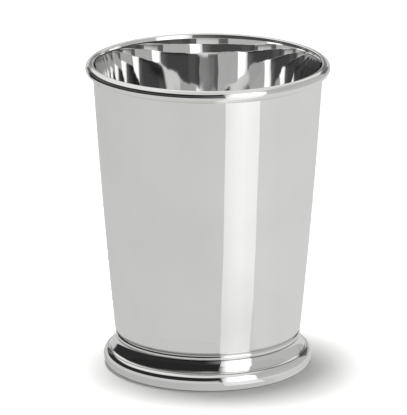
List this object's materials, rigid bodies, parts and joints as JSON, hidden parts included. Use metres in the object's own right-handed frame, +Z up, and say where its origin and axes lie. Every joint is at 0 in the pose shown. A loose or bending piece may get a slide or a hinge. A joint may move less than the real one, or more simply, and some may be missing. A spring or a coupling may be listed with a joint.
{
  "type": "julep cup",
  "caption": "Tapered polished silver julep cup with a half-round rim bead and a moulded ring foot, a handleless beaker for an iced drink.",
  "frame": {"origin": "centre of the foot ring's flat, on the table", "axes": "+Z up along the cup's axis, towards the mouth; the cup is round, so X and Y are alike"},
  "size_m": [0.0792, 0.0792, 0.1016],
  "materials": {
    "polished_silver": "mirror polished silver",
    "satin_silver": "satin silver, turned",
    "silver_solder": "polished silver solder"
  },
  "bodies": {
    "root": {"body_wall": "polished_silver", "rim_bead": "polished_silver", "reed_wire": "polished_silver", "foot_cove": "polished_silver", "foot_bead": "polished_silver", "floor_disc": "satin_silver", "rim_solder": "silver_solder", "floor_solder": "silver_solder", "foot_solder": "silver_solder"}
  },
  "joints": []
}
